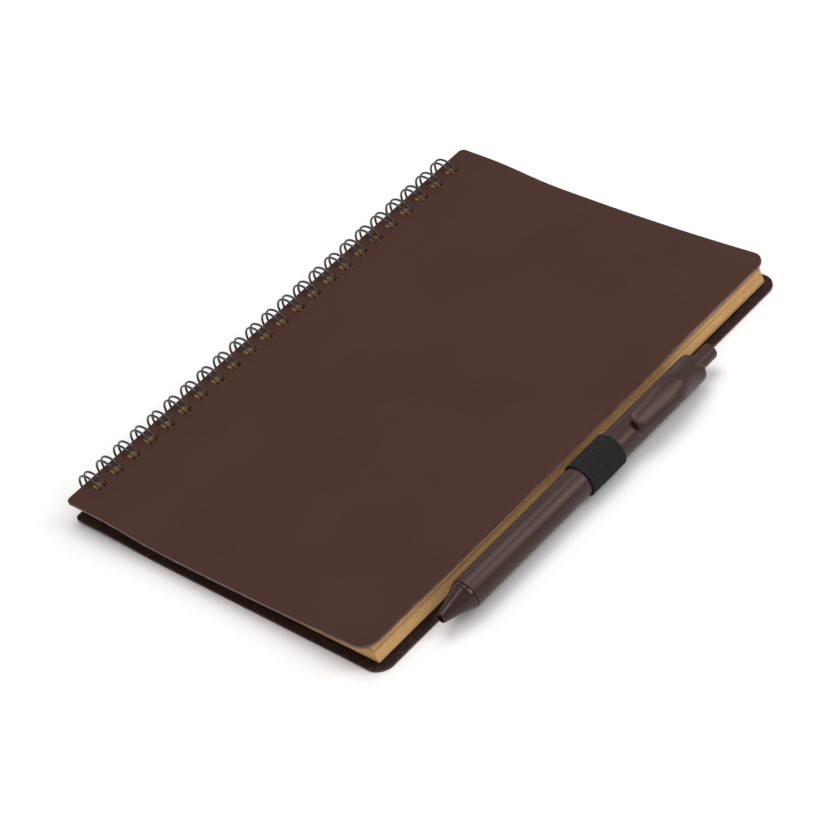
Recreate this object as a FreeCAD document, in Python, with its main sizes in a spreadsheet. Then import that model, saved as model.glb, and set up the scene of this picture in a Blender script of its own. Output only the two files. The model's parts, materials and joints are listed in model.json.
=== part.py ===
import FreeCAD, Part
import math
import os

import Sketcher

# Pocket notebook: A5 sheets and two covers on a twin-loop wire, and a click pen in an elastic
# loop at the back cover's fore-edge. X runs from the spine to the fore-edge, Y along the spine
# and +Z up. Sizes along X are given from the hinge axis, which lies spine_to_origin from the
# row's origin; the origin is on the back cover's underside, in the middle of the book.

Vector = FreeCAD.Vector
doc = FreeCAD.newDocument("notebook")

DIMENSIONS = {
    "spine_to_origin": 80.0,
    # covers: a leatherette skin outside and a fibrous backing inside
    "cover_length": 210.0,
    "front_fore": 141.9,
    "back_spine": 1.5,
    "back_fore": 145.0,
    "skin_thick": 0.25,
    "backing_thick": 0.65,
    "fore_round": 6.0,
    "spine_round": 2.0,
    # page block, as sections that turn on the wire
    "page_length": 203.0,
    "page_width": 140.0,
    "section_thick": 0.65,
    "layer_gap": 0.02,
    "sheet_spine": 0.05,
    "spine_step": 0.17,
    "page_round": 0.3,
    "trim_margin": 1.0,
    # lie of the sheets: lifted by the wire at the spine, flared at the fore-edge
    "spine_lift": 2.35,
    "back_lift": 1.3,
    "drop_start": 10.0,
    "drop_middle": 30.0,
    "drop_end": 50.0,
    "flare_start": 60.0,
    "flare_least": 0.5,
    "flare_step": 0.36,
    # punched holes
    "hole_start": 2.75,
    "hole_wide": 4.9,
    "hole_long": 4.2,
    "hole_round": 1.0,
    "hole_count": 23,
    "hole_pitch": 8.46667,
    # twin-loop wire
    "wire_centre": 1.0,
    "wire_height": 6.27,
    "loop_radius": 5.8,
    "wire_radius": 0.42,
    "twin_gap": 2.36,
    # pen, along Y, with its own axis as zero height
    "pen_across": 151.0,
    "pen_height": 7.37,
    "clip_turn": 38.0,
    "pen_radius": 5.5,
    "bore_radius": 4.3,
    "nose_tip": -80.8,
    "nose_base": -68.6,
    "nose_mouth": 1.25,
    "nose_lip": 1.75,
    "barrel_end": 24.6,
    "joint_radius": 4.9,
    "joint_long": 6.0,
    "fit_gap": 0.05,
    "nose_bore": 2.35,
    "nose_mouth_long": 4.5,
    "nose_rim": 5.25,
    "nose_rim_long": 1.2,
    "sleeve_round": 1.2,
    "sleeve_lip": 3.0,
    "sleeve_end": 51.1,
    "button_radius": 2.9,
    "button_end": 60.1,
    "button_travel": 5.0,
    "button_round": 1.0,
    "button_foot": 4.1,
    "clip_free": 15.0,
    "clip_wide": 8.4,
    "clip_narrow": 5.4,
    "clip_floor": 6.3,
    "clip_crown": 8.0,
    "clip_root": 45.2,
    "clip_bridge": 4.0,
    "clip_taper": 14.0,
    "plunger_foot": 3.4,
    "plunger_radius": 2.4,
    "plunger_step": 3.0,
    "socket_long": 4.0,
    "refill_radius": 1.5,
    "refill_end": 27.2,
    "tube_seat": 13.0,
    "collar_radius": 2.1,
    "collar_long": 0.8,
    "tip_seat": 1.2,
    "tip_long": 2.6,
    "tip_radius": 1.15,
    "ball_radius": 0.35,
    "spring_radius": 2.0,
    "spring_wire": 0.2,
    "spring_pitch": 1.9,
    "spring_long": 17.1,
    "spring_seat": 4.9,
    # elastic loop
    "band_start": -11.0,
    "band_end": 6.1,
    "band_thick": 0.8,
    "band_gap": 0.12,
    "tail_long": 14.0,
    "tail_thick": 0.45,
    "tail_gap": 0.02,
    "riser_wide": 4.0,
}
SECTIONS = 8

sheet = doc.addObject("Spreadsheet::Sheet", "dims")
for row, (alias, value) in enumerate(DIMENSIONS.items(), start=1):
    sheet.set(f"A{row}", alias)
    sheet.set(f"B{row}", str(value))
    sheet.setAlias(f"B{row}", alias)
doc.recompute()


class Size:
    """A length, with the spreadsheet expression that gives it."""

    def __init__(self, value, text):
        self.value = value
        self.text = text

    def combine(self, other, sign, value):
        return Size(value, f"({self.text} {sign} {as_size(other).text})")

    def __add__(self, other):
        return self.combine(other, "+", self.value + as_size(other).value)

    def __sub__(self, other):
        return self.combine(other, "-", self.value - as_size(other).value)

    def __mul__(self, other):
        return self.combine(other, "*", self.value * as_size(other).value)

    def __truediv__(self, other):
        return self.combine(other, "/", self.value / as_size(other).value)


def as_size(length):
    return length if isinstance(length, Size) else Size(float(length), str(length))


def dim(alias):
    return Size(float(sheet.get(alias)), f"dims.{alias}")


parts = []


def place(part, across=0.0, along=0.0, height=0.0):
    """Bind a sub-part's Placement: across is from the hinge axis."""
    part.setExpression("Placement.Base.x", (as_size(across) - dim("spine_to_origin")).text)
    part.setExpression("Placement.Base.y", as_size(along).text)
    part.setExpression("Placement.Base.z", as_size(height).text)
    parts.append(part)


def place_on_pen(part):
    """Put a pen piece on the pen's axis, turned so that the clip faces up and outwards."""
    part.Placement = FreeCAD.Placement(Vector(), FreeCAD.Rotation(Vector(0, 1, 0), 1))
    part.setExpression("Placement.Rotation.Angle", dim("clip_turn").text)
    place(part, dim("pen_across"), 0.0, dim("pen_height"))


def new_body(name):
    body = doc.addObject("PartDesign::Body", name)
    body.Label = name
    return body


def new_sketch(body, name, plane):
    sketch = body.newObject("Sketcher::SketchObject", name)
    origin_plane = next(f for f in body.Origin.OriginFeatures if f.Role == plane)
    sketch.AttachmentSupport = [(origin_plane, "")]
    sketch.MapMode = "FlatFace"
    return sketch


def arc_through(start, end, radius, turn):
    """Arc from start to end that bends left (turn 1) or right (turn -1)."""
    chord = end - start
    middle = (start + end) * 0.5
    side = Vector(-chord.y, chord.x, 0).normalize() * turn
    reach = math.sqrt(radius**2 - (chord.Length / 2) ** 2)
    top = middle + side * (reach - radius)
    return Part.Arc(start, top, end)


def outline(sketch, corners, arcs=None):
    """Closed outline. arcs maps an edge's number to its (radius, turn)."""
    arcs = arcs or {}
    spots = [Vector(x.value, y.value, 0) for x, y in corners]
    edges = []
    for number, spot in enumerate(spots):
        after = spots[(number + 1) % len(spots)]
        if number in arcs:
            radius, turn = arcs[number]
            curve = arc_through(spot, after, radius.value, turn)
        else:
            curve = Part.LineSegment(spot, after)
        edges.append(sketch.addGeometry(curve, False))
    starts = []
    for number, edge in enumerate(edges):
        # an arc that bends right is stored the other way round
        flipped = number in arcs and arcs[number][1] < 0
        starts.append((edge, 2 if flipped else 1, 1 if flipped else 2))
    for number, (edge, _, end) in enumerate(starts):
        after, start, _ = starts[(number + 1) % len(starts)]
        sketch.addConstraint(Sketcher.Constraint("Coincident", edge, end, after, start))
    for (x, y), (edge, start, _) in zip(corners, starts):
        for kind, length in (("DistanceX", x), ("DistanceY", y)):
            index = sketch.addConstraint(
                Sketcher.Constraint(kind, -1, 1, edge, start, length.value)
            )
            if "dims." in length.text:
                sketch.setExpression(f"Constraints[{index}]", length.text)
    for number, (radius, _) in arcs.items():
        index = sketch.addConstraint(
            Sketcher.Constraint("Radius", edges[number], radius.value)
        )
        sketch.setExpression(f"Constraints[{index}]", radius.text)


def bend_radius(run, rise):
    """Radius of the arc that leaves the level and rises by rise over run."""
    return (run * run + rise * rise) / (rise * 2)


# Sheets ---------------------------------------------------------------------------------------


def sheet_outline(sketch, spine, fore, height, thick, flare, lift):
    """Section of one sheet: both faces are the same line, thick apart in height."""
    levels = [
        (spine, lift),
        (dim("drop_start"), lift),
        (dim("drop_middle"), lift / 2),
        (dim("drop_end"), as_size(0)),
        (dim("flare_start"), as_size(0)),
        (fore, flare),
    ]
    if flare.value == 0:
        levels = levels[:4] + [(fore, as_size(0))]
    lower = [(x, z + height) for x, z in levels]
    upper = [(x, z + height + thick) for x, z in reversed(levels)]
    drop = bend_radius(dim("drop_middle") - dim("drop_start"), lift / 2)
    arcs = {1: (drop, -1), 2: (drop, 1)}
    last = len(lower) + len(upper) - 1
    if flare.value:
        rise = bend_radius(fore - dim("flare_start"), flare)
        arcs[4] = (rise, 1)
        arcs[6] = (rise, -1)
    arcs[last - 2] = (drop, 1)
    arcs[last - 3] = (drop, -1)
    outline(sketch, lower + upper, arcs)


def rounded_rectangle(sketch, west, east, half, west_bend, east_bend):
    """Plan outline, mirrored about the X axis, with its own corner radius at each end."""
    none = as_size(0)
    corners = [
        (west + west_bend, none - half),
        (east - east_bend, none - half),
        (east, east_bend - half),
        (east, half - east_bend),
        (east - east_bend, half),
        (west + west_bend, half),
        (west, half - west_bend),
        (west, west_bend - half),
    ]
    arcs = {1: (east_bend, 1), 3: (east_bend, 1), 5: (west_bend, 1), 7: (west_bend, 1)}
    outline(sketch, corners, arcs)


def trim_to_plan(body, spine, fore, long, spine_round, fore_round):
    """Cut everything away outside the sheet's rounded plan."""
    sketch = new_sketch(body, f"{body.Name}_plan", "XY_Plane")
    rounded_rectangle(sketch, spine, fore, long / 2, spine_round, fore_round)
    far = long / 2 + dim("trim_margin") * 3
    west = spine - dim("trim_margin") * 3
    east = fore + dim("trim_margin") * 3
    none = as_size(0)
    outline(sketch, [(west, none - far), (east, none - far), (east, far), (west, far)])
    trim = body.newObject("PartDesign::Pocket", f"{body.Name}_trim")
    trim.Profile = sketch
    trim.Type = "ThroughAll"
    trim.SideType = "Symmetric"
    doc.recompute()


def punch_holes(body):
    """Cut the row of rounded square holes along the spine."""
    sketch = new_sketch(body, f"{body.Name}_hole_outline", "XY_Plane")
    start = dim("hole_start")
    end = start + dim("hole_wide")
    row_start = dim("hole_pitch") * (as_size(1) - dim("hole_count")) / 2
    low = row_start - dim("hole_long") / 2
    high = row_start + dim("hole_long") / 2
    bend = dim("hole_round")
    corners = [
        (start + bend, low),
        (end - bend, low),
        (end, low + bend),
        (end, high - bend),
        (end - bend, high),
        (start + bend, high),
        (start, high - bend),
        (start, low + bend),
    ]
    outline(sketch, corners, {edge: (bend, 1) for edge in (1, 3, 5, 7)})
    hole = body.newObject("PartDesign::Pocket", f"{body.Name}_hole")
    hole.Profile = sketch
    hole.Type = "ThroughAll"
    hole.SideType = "Symmetric"
    doc.recompute()
    row = body.newObject("PartDesign::LinearPattern", f"{body.Name}_holes")
    row.Originals = [hole]
    row.Direction = (sketch, ["V_Axis"])
    row.Mode = "Spacing"
    row.Offset = dim("hole_pitch").value
    row.setExpression("Offset", dim("hole_pitch").text)
    row.Occurrences = int(dim("hole_count").value)
    row.setExpression("Occurrences", dim("hole_count").text)
    body.Tip = row
    doc.recompute()


def make_sheet(name, spine, fore, height, thick, flare, lift, long, fore_round, spine_round):
    body = new_body(name)
    sketch = new_sketch(body, f"{name}_section", "XZ_Plane")
    margin = dim("trim_margin")
    sheet_outline(sketch, spine - margin, fore + margin, height, thick, flare, lift)
    pad = body.newObject("PartDesign::Pad", f"{name}_pad")
    pad.Profile = sketch
    pad.SideType = "Symmetric"
    pad.Length = (long + margin * 2).value
    pad.setExpression("Length", (long + margin * 2).text)
    doc.recompute()
    trim_to_plan(body, spine, fore, long, spine_round, fore_round)
    area = (fore.value - spine.value) * long.value
    area -= (2 - math.pi / 2) * (fore_round.value**2 + spine_round.value**2)
    if abs(body.Shape.Volume - area * thick.value) > 0.005 * area * thick.value:
        raise RuntimeError(f"{name}: the trimmed sheet's volume is {body.Shape.Volume}")
    solid = body.Shape.Volume
    punch_holes(body)
    bend = dim("hole_round").value
    hole_area = dim("hole_wide").value * dim("hole_long").value - (4 - math.pi) * bend**2
    removed = hole_area * thick.value * dim("hole_count").value
    if abs(solid - body.Shape.Volume - removed) > 0.02 * removed:
        raise RuntimeError(f"{name}: the holes took out {solid - body.Shape.Volume}")
    place(body)
    return body


def make_cover_layer(name, spine, fore, height, thick, flare, lift):
    return make_sheet(
        name, spine, fore, height, thick, flare, lift,
        dim("cover_length"), dim("fore_round"), dim("spine_round"),
    )


def make_covers():
    """Both covers; the back cover's backing has a recess for the elastic's tail."""
    level = as_size(0)
    make_cover_layer(
        "back_cover_skin", dim("back_spine"), dim("back_fore"), level, dim("skin_thick"), level,
        dim("back_lift"),
    )
    backing = make_cover_layer(
        "back_cover_backing", dim("back_spine"), dim("back_fore"), dim("skin_thick"),
        dim("backing_thick"), level, dim("back_lift"),
    )
    cut_tail_recess(backing)
    above = page_height(SECTIONS)
    flare = page_flare(SECTIONS)
    spine = dim("sheet_spine")
    make_cover_layer(
        "front_cover_backing", spine, dim("front_fore"), above, dim("backing_thick"), flare,
        dim("spine_lift"),
    )
    make_cover_layer(
        "front_cover_skin", spine, dim("front_fore"), above + dim("backing_thick"),
        dim("skin_thick"), flare, dim("spine_lift"),
    )


def cover_top():
    return dim("skin_thick") + dim("backing_thick")


def cut_tail_recess(body):
    sketch = new_sketch(body, "tail_recess_outline", "XZ_Plane")
    start = dim("back_fore") - dim("tail_long") - dim("tail_gap")
    floor = cover_top() - dim("tail_thick") - dim("tail_gap")
    past = dim("back_fore") + 1
    above = cover_top() + 1
    outline(sketch, [(start, floor), (past, floor), (past, above), (start, above)])
    recess = body.newObject("PartDesign::Pocket", "tail_recess")
    recess.Profile = sketch
    recess.Type = "Length"
    recess.SideType = "Two sides"
    # the sketch's normal is -Y, and a pocket cuts against it, towards +Y, first
    recess.Length = (dim("band_end") + dim("tail_gap")).value
    recess.setExpression("Length", (dim("band_end") + dim("tail_gap")).text)
    recess.Length2 = (dim("tail_gap") - dim("band_start")).value
    recess.setExpression("Length2", (dim("tail_gap") - dim("band_start")).text)
    before = body.Shape.Volume
    body.Tip = recess
    doc.recompute()
    if body.Shape.Volume > before - 50:
        raise RuntimeError("the tail recess cut too little")


def page_height(level):
    """Underside of the page section, or of the front cover, at this level from below."""
    step = dim("section_thick") + dim("layer_gap")
    return cover_top() + dim("layer_gap") + step * level


def page_flare(level):
    return dim("flare_least") + dim("flare_step") * level


def make_pages():
    """Page sections, numbered from the front; each lower one sits further from the hinge."""
    for level in range(SECTIONS):
        shift = dim("spine_step") * (SECTIONS - 1 - level)
        spine = dim("sheet_spine") + 0.05 + shift
        make_sheet(
            f"page_section_{SECTIONS - level}", spine, spine + dim("page_width"),
            page_height(level), dim("section_thick"), page_flare(level), dim("spine_lift"),
            dim("page_length"), dim("page_round"), dim("page_round"),
        )


# Wire -----------------------------------------------------------------------------------------

TIP_ANGLE = 240.0
ROOT_ANGLE = -90.0


def loop_point(angle, along):
    reach = dim("loop_radius").value
    turn = math.radians(angle)
    return Vector(reach * math.cos(turn), along, reach * math.sin(turn))


def half_turn(start, end, forward):
    """Half circle from start to end, which bulges along forward."""
    middle = (start + end) * 0.5
    return Part.Arc(start, middle + forward * (start.distanceToPoint(end) / 2), end)


def wire_path():
    """One wire: up and down each twin loop, narrow bends at tips and wide bends at roots."""
    count = int(dim("hole_count").value)
    pitch = dim("hole_pitch").value
    half_gap = dim("twin_gap").value / 2
    tip = math.radians(TIP_ANGLE)
    past_tip = Vector(-math.sin(tip), 0, math.cos(tip))
    middle = (TIP_ANGLE + ROOT_ANGLE) / 2
    curves = []
    for number in range(count):
        near = (number - (count - 1) / 2) * pitch - half_gap
        far = near + 2 * half_gap
        ends = [loop_point(ROOT_ANGLE, near), loop_point(TIP_ANGLE, near)]
        ends += [loop_point(TIP_ANGLE, far), loop_point(ROOT_ANGLE, far)]
        curves.append(Part.Arc(ends[0], loop_point(middle, near), ends[1]))
        curves.append(half_turn(ends[1], ends[2], past_tip))
        curves.append(Part.Arc(ends[2], loop_point(middle, far), ends[3]))
        if number < count - 1:
            after = loop_point(ROOT_ANGLE, near + pitch)
            curves.append(half_turn(ends[3], after, Vector(-1, 0, 0)))
    return Part.Wire([curve.toShape() for curve in curves])


def make_wire():
    path = wire_path()
    start = path.Edges[0].valueAt(path.Edges[0].FirstParameter)
    radius = dim("wire_radius").value
    section = Part.Wire([Part.makeCircle(radius, start, Vector(1, 0, 0))])
    solid = path.makePipeShell([section], True, False)
    wanted = math.pi * radius**2 * path.Length
    if abs(solid.Volume - wanted) > 0.01 * wanted:
        raise RuntimeError(f"the wire's volume is {solid.Volume}, not {wanted}")
    wire = doc.addObject("Part::Feature", "binding_wire")
    wire.Label = "binding_wire"
    wire.Shape = solid
    place(wire, dim("wire_centre"), 0.0, dim("wire_height"))


# Pen: each turned piece is an outline in the YZ plane, revolved about the pen's axis ------------


def turned(name, corners, arcs=None):
    body = new_body(name)
    sketch = new_sketch(body, f"{name}_outline", "YZ_Plane")
    outline(sketch, [(as_size(y), as_size(r)) for y, r in corners], arcs)
    turn = body.newObject("PartDesign::Revolution", f"{name}_turned")
    turn.Profile = sketch
    turn.ReferenceAxis = (sketch, ["H_Axis"])
    turn.Angle = 360
    doc.recompute()
    return body


def make_nose_cone():
    """Hollow tapered nose with a bright step where it meets the barrel."""
    base = dim("nose_base")
    rim = dim("nose_rim")
    mouth_end = dim("nose_tip") + dim("nose_mouth_long")
    joint = dim("bore_radius") - dim("fit_gap")
    corners = [
        (dim("nose_tip"), dim("nose_mouth")),
        (mouth_end, dim("nose_mouth")),
        (mouth_end, dim("nose_bore")),
        (base + dim("joint_long"), dim("nose_bore")),
        (base + dim("joint_long"), joint),
        (base, joint),
        (base, rim),
        (base - dim("nose_rim_long"), rim),
        (base - dim("nose_rim_long") - 0.4, rim - 0.35),
        (dim("nose_tip") + 0.6, dim("nose_lip") + 0.1),
        (dim("nose_tip"), dim("nose_lip") - 0.15),
    ]
    place_on_pen(turned("pen_nose_cone", corners))


def make_barrel():
    end = dim("barrel_end")
    base = dim("nose_base")
    joint = dim("joint_radius") - dim("fit_gap")
    corners = [
        (base, dim("bore_radius")),
        (end + dim("joint_long"), dim("bore_radius")),
        (end + dim("joint_long"), joint),
        (end, joint),
        (end, dim("pen_radius")),
        (base, dim("pen_radius")),
    ]
    place_on_pen(turned("pen_barrel", corners))


def make_clip_sleeve():
    """Upper sleeve, which carries the clip: a tapered tongue over the barrel."""
    end = dim("sleeve_end")
    start = dim("barrel_end")
    rim = dim("button_radius") + dim("fit_gap") * 2
    outer = dim("pen_radius")
    rounding = dim("sleeve_round")
    corners = [
        (start, dim("joint_radius")),
        (end - dim("sleeve_lip"), dim("joint_radius")),
        (end - dim("sleeve_lip"), rim),
        (end, rim),
        (end, outer - rounding),
        (end - rounding, outer),
        (start, outer),
    ]
    body = turned("pen_clip_sleeve", corners, {4: (rounding, 1)})
    root = dim("clip_root")
    bridge = new_sketch(body, "clip_bridge_outline", "YZ_Plane")
    crown = dim("clip_crown")
    top = crown - 0.2
    bite = outer - 0.6
    bridge_corners = [
        (root - dim("clip_bridge"), bite),
        (end - rounding, bite),
        (end - rounding, outer),
        (root + 0.5, top),
        (root - dim("clip_bridge"), top),
    ]
    outline(bridge, bridge_corners)
    block = body.newObject("PartDesign::Pad", "clip_bridge")
    block.Profile = bridge
    block.SideType = "Symmetric"
    block.Length = (dim("clip_wide") - 0.8).value
    block.setExpression("Length", (dim("clip_wide") - 0.8).text)
    doc.recompute()
    plan = new_sketch(body, "clip_plan", "XY_Plane")
    free = dim("clip_free")
    wide = dim("clip_wide") / 2
    narrow = dim("clip_narrow") / 2
    none = as_size(0)
    full = root - dim("clip_taper")
    left = [(none - narrow, free), (none - wide, full), (none - wide, root)]
    right = [(wide, root), (wide, full), (narrow, free)]
    outline(plan, left + right)
    plan.AttachmentOffset = FreeCAD.Placement(Vector(0, 0, 1), FreeCAD.Rotation())
    plan.setExpression("AttachmentOffset.Base.z", dim("clip_floor").text)
    tongue = body.newObject("PartDesign::Pad", "clip_tongue")
    tongue.Profile = plan
    thick = dim("clip_crown") - dim("clip_floor")
    tongue.Length = thick.value
    tongue.setExpression("Length", thick.text)
    doc.recompute()
    place_on_pen(body)


def make_button():
    """Push button: cap outside, and a wider foot that the sleeve's mouth holds in."""
    end = dim("button_end")
    radius = dim("button_radius")
    mouth = dim("sleeve_end") - dim("sleeve_lip")
    foot = mouth - dim("button_travel")
    none = as_size(0)
    rounding = dim("button_round")
    corners = [
        (foot, none),
        (end, none),
        (end, radius - rounding),
        (end - rounding, radius),
        (mouth - dim("fit_gap"), radius),
        (mouth - dim("fit_gap"), dim("button_foot")),
        (foot, dim("button_foot")),
    ]
    place_on_pen(turned("pen_button", corners, {2: (rounding, 1)}))


def make_cam():
    """Plunger that the button pushes, with the socket that the refill's end sits in."""
    foot = dim("sleeve_end") - dim("sleeve_lip") - dim("button_travel")
    none = as_size(0)
    start = dim("refill_end") - dim("socket_long")
    socket = dim("refill_radius") + dim("fit_gap") / 2
    corners = [
        (start, socket),
        (dim("refill_end"), socket),
        (dim("refill_end"), none),
        (foot, none),
        (foot, dim("plunger_foot")),
        (foot - dim("plunger_step"), dim("plunger_foot")),
        (foot - dim("plunger_step") - 1, dim("plunger_radius")),
        (start, dim("plunger_radius")),
    ]
    place_on_pen(turned("pen_plunger", corners))


def make_refill():
    """Ink tube, the metal writing tip pressed into it, and the ball in the tip."""
    tube_start = dim("nose_tip") + dim("tube_seat")
    collar = dim("nose_tip") + dim("spring_seat") + dim("spring_long") + 0.3
    none = as_size(0)
    radius = dim("refill_radius")
    tube = [
        (tube_start, none),
        (dim("refill_end"), none),
        (dim("refill_end"), radius),
        (collar + dim("collar_long"), radius),
        (collar + dim("collar_long"), dim("collar_radius")),
        (collar, dim("collar_radius")),
        (collar, radius),
        (tube_start, radius),
    ]
    place_on_pen(turned("pen_refill_tube", tube))
    tip = dim("nose_tip") + dim("tip_seat")
    socket = tip + dim("ball_radius") * 0.8
    cone = [
        (socket + dim("ball_radius"), none),
        (tube_start, none),
        (tube_start, dim("tip_radius")),
        (tip + dim("tip_long"), dim("tip_radius")),
        (tip, dim("ball_radius") + 0.03),
        (socket, dim("ball_radius") + 0.01),
        (socket + dim("ball_radius"), dim("ball_radius") + 0.01),
    ]
    place_on_pen(turned("pen_refill_tip", cone))
    ball = doc.addObject("Part::Sphere", "pen_writing_ball")
    ball.Label = "pen_writing_ball"
    ball.setExpression("Radius", dim("ball_radius").text)
    place(ball, dim("pen_across"), socket - 0.02, dim("pen_height"))


def make_spring():
    """Return spring in the nose, between its shoulder and the refill's collar."""
    helix = Part.makeHelix(
        dim("spring_pitch").value, dim("spring_long").value, dim("spring_radius").value
    )
    radius = dim("spring_radius").value
    slope = dim("spring_pitch").value / (2 * math.pi)
    along = Vector(0, radius, slope).normalize()
    circle = Part.makeCircle(dim("spring_wire").value, Vector(radius, 0, 0), along)
    coil = Part.Wire(helix.Edges).makePipeShell([Part.Wire([circle])], True, True)
    spring = doc.addObject("Part::Feature", "pen_spring")
    spring.Label = "pen_spring"
    spring.Shape = coil
    spring.Placement = FreeCAD.Placement(Vector(), FreeCAD.Rotation(Vector(1, 0, 0), -90))
    start = dim("nose_tip") + dim("spring_seat")
    place(spring, dim("pen_across"), start, dim("pen_height"))


# Elastic loop -----------------------------------------------------------------------------------


def cylinder_along(name, radius, start, long):
    tube = doc.addObject("Part::Cylinder", name)
    tube.setExpression("Radius", radius.text)
    tube.setExpression("Height", long.text)
    tube.Placement = FreeCAD.Placement(Vector(), FreeCAD.Rotation(Vector(1, 0, 0), -90))
    tube.setExpression("Placement.Base.x", dim("pen_across").text)
    tube.setExpression("Placement.Base.y", start.text)
    tube.setExpression("Placement.Base.z", dim("pen_height").text)
    return tube


def box_between(name, low, high):
    box = doc.addObject("Part::Box", name)
    for axis, size, start, end in zip("xyz", ("Length", "Width", "Height"), low, high):
        box.setExpression(f"Placement.Base.{axis}", start.text)
        box.setExpression(size, (end - start).text)
    return box


def make_elastic():
    """Ring of elastic round the pen, and its tail glued into the back cover's recess."""
    start = dim("band_start")
    end = dim("band_end")
    inner = dim("pen_radius") + dim("band_gap")
    ring = cylinder_along("band_outside", inner + dim("band_thick"), start, end - start)
    bore = cylinder_along("band_bore", inner, start - 1, end - start + 2)
    floor = cover_top() - dim("tail_thick")
    tail_start = dim("back_fore") - dim("tail_long")
    tail = box_between(
        "band_tail", (tail_start, start, floor), (dim("pen_across"), end, cover_top() - dim("tail_gap"))
    )
    riser = box_between(
        "band_riser",
        (dim("pen_across") - dim("riser_wide") / 2, start, floor),
        (dim("pen_across") + dim("riser_wide") / 2, end, cover_top() + dim("tail_thick")),
    )
    whole = doc.addObject("Part::MultiFuse", "band_whole")
    whole.Shapes = [ring, tail, riser]
    whole.Refine = True
    band = doc.addObject("Part::Cut", "pen_loop")
    band.Label = "pen_loop"
    band.Base = whole
    band.Tool = bore
    place(band)


make_covers()
make_pages()
make_wire()
make_elastic()
make_nose_cone()
make_barrel()
make_clip_sleeve()
make_button()
make_cam()
make_refill()
make_spring()
doc.recompute()

for thing in doc.Objects:
    if "Invalid" in thing.State or "Error" in thing.State:
        raise RuntimeError(f"{thing.Label} failed: {thing.State}")
for part in parts:
    if part.Shape.isNull() or not part.Shape.isValid() or not part.Shape.Solids:
        raise RuntimeError(f"{part.Label} has no valid solid")

os.makedirs("parts", exist_ok=True)
for part in parts:
    part.Shape.exportStep(f"parts/{part.Label}.step")
    box = part.Shape.BoundBox
    print(f"{part.Label}: {part.Shape.Volume:.1f} mm3, {len(part.Shape.Solids)} solid(s),"
          f" z {box.ZMin:.2f} to {box.ZMax:.2f}")
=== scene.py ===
import json
import math
import random

import bmesh
import bpy
import numpy as np
from mathutils import Matrix, Vector


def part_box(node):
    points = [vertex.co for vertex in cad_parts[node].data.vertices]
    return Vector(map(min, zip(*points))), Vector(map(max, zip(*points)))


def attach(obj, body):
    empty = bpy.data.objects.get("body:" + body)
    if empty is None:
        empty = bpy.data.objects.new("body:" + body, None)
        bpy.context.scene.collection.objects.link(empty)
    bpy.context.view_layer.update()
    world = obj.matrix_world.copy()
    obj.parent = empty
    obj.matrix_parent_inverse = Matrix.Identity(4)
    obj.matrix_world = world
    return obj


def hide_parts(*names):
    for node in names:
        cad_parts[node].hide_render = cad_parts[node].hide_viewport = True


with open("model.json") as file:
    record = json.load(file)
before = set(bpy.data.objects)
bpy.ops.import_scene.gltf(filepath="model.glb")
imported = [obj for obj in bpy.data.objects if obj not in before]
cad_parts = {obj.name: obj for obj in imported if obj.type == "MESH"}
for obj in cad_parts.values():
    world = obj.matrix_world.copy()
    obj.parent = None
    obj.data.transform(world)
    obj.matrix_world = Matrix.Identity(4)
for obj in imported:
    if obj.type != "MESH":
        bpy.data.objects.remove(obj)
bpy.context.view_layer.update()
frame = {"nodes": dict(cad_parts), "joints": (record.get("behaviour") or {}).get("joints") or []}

MM = 0.001
NODES = frame["nodes"]
JOINTS = {joint["name"]: joint for joint in frame["joints"]}
HINGE_X = JOINTS["cover_hinge"]["pos_m"][0]
SECTIONS = 8


# Where things are, read from the frame ------------------------------------------------------


def node_points(node):
    mesh = NODES[node].data
    points = np.empty(len(mesh.vertices) * 3)
    mesh.vertices.foreach_get("co", points)
    return points.reshape(-1, 3)


PEN_LOW, PEN_HIGH = (np.array(corner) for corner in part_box("pen_barrel"))
PEN_X = (PEN_LOW[0] + PEN_HIGH[0]) / 2
PEN_Z = (PEN_LOW[2] + PEN_HIGH[2]) / 2
PEN_RADIUS = (PEN_HIGH[0] - PEN_LOW[0]) / 2
CLIP_TURN = math.radians(38)
SLEEVE_LOW, SLEEVE_HIGH = (np.array(corner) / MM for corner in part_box("pen_clip_sleeve"))
SLEEVE_RADIUS = PEN_RADIUS / MM
CLIP_FREE = SLEEVE_LOW[1]
SLEEVE_END = SLEEVE_HIGH[1]
SLEEVE_START = CLIP_FREE + 9.6
CLIP_ROOT = SLEEVE_END - 7.5
CLIP_END = SLEEVE_END - 1.3


# Materials ----------------------------------------------------------------------------------


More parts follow.
